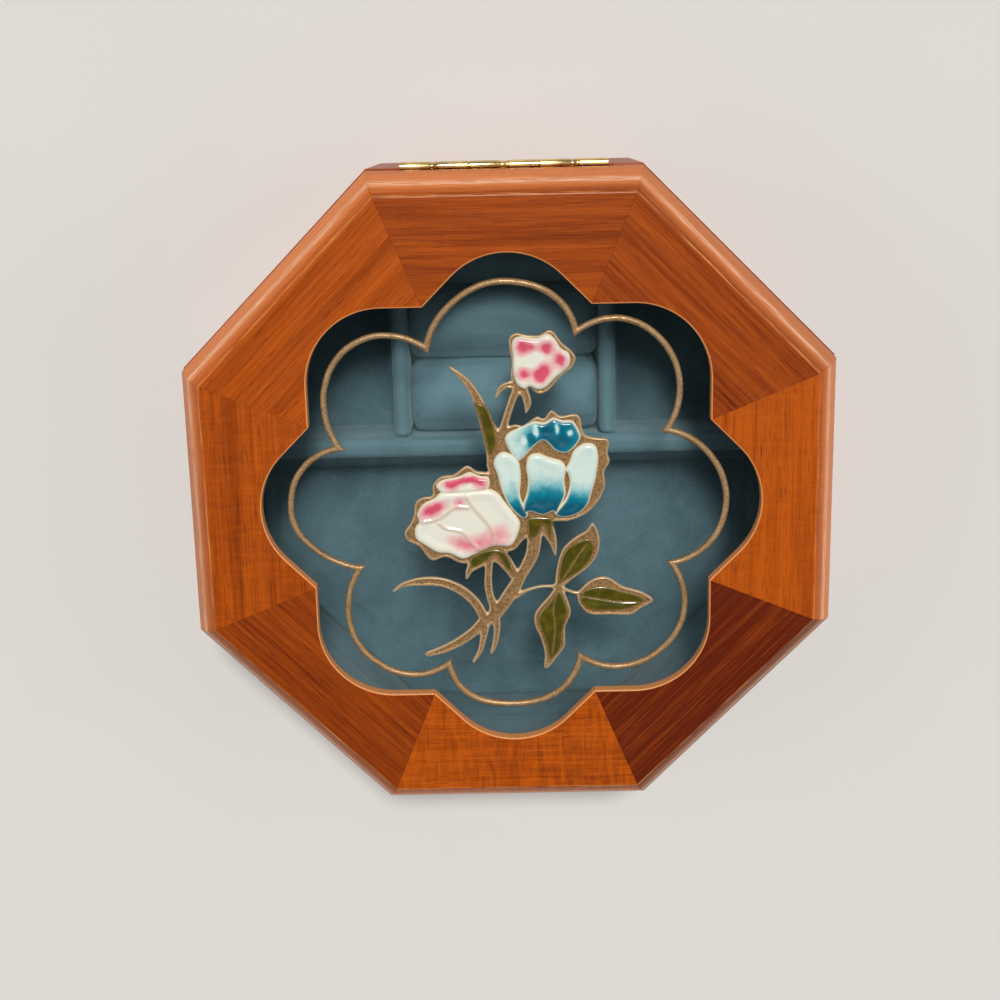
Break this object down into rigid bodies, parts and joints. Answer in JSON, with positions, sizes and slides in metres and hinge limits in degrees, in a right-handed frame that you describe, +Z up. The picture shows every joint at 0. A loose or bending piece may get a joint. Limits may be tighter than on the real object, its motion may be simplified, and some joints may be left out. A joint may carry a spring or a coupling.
{
  "type": "wooden jewelry box",
  "caption": "Octagonal wooden jewelry box with a hinged, glazed lid, a scalloped window with a raised floral spray, and velvet-lined compartments with ring rolls.",
  "frame": {"origin": "middle of the underside of the base", "axes": "+Z up, +Y towards the hinge at the back, +X to the right seen from the front"},
  "size_m": [0.161, 0.1624, 0.06],
  "materials": {
    "stained_wood": "orange-brown stain under satin varnish",
    "plain_wood": "bare, sanded",
    "velvet": "grey-blue velvet",
    "clear_glass": "clear, polished",
    "gold_paint": "metallic relief paste",
    "blue_enamel": "glossy enamel paint",
    "pink_enamel": "glossy enamel paint",
    "green_enamel": "glossy enamel paint",
    "brass": "polished"
  },
  "bodies": {
    "box": {"wall_right": "stained_wood", "wall_back_right": "stained_wood", "wall_back": "stained_wood", "wall_back_left": "stained_wood", "wall_left": "stained_wood", "wall_front_left": "stained_wood", "wall_front": "stained_wood", "wall_front_right": "stained_wood", "base_panel": "plain_wood", "floor_pad": "velvet", "wall_lining": "velvet", "front_divider": "velvet", "left_divider": "velvet", "right_divider": "velvet", "ring_roll_front": "velvet", "ring_roll_middle": "velvet", "ring_roll_back": "velvet", "hinge_leaf_box": "brass", "hinge_pin": "brass"},
    "lid": {"lid_rail_right": "stained_wood", "lid_rail_back_right": "stained_wood", "lid_rail_back": "stained_wood", "lid_rail_back_left": "stained_wood", "lid_rail_left": "stained_wood", "lid_rail_front_left": "stained_wood", "lid_rail_front": "stained_wood", "lid_rail_front_right": "stained_wood", "glass_pane": "clear_glass", "gold_border": "gold_paint", "gold_spray": "gold_paint", "blue_rose_collar": "blue_enamel", "blue_rose_heart": "blue_enamel", "blue_rose_left_petal": "blue_enamel", "blue_rose_right_petal": "blue_enamel", "blue_rose_sepals": "green_enamel", "pink_rose_heart": "pink_enamel", "pink_rose_top_petal": "pink_enamel", "pink_rose_sepals": "green_enamel", "bud_petals": "pink_enamel", "leaf_upper": "green_enamel", "leaf_right": "green_enamel", "leaf_lower": "green_enamel", "leaf_slender": "green_enamel", "hinge_leaf_lid": "brass"}
  },
  "joints": [
    {"name": "lid_hinge", "type": "hinge", "parent": "box", "child": "lid", "pos_m": [0, 0.0808, 0.047], "axis": [-1, 0, 0], "range_deg": [0, 100]}
  ]
}
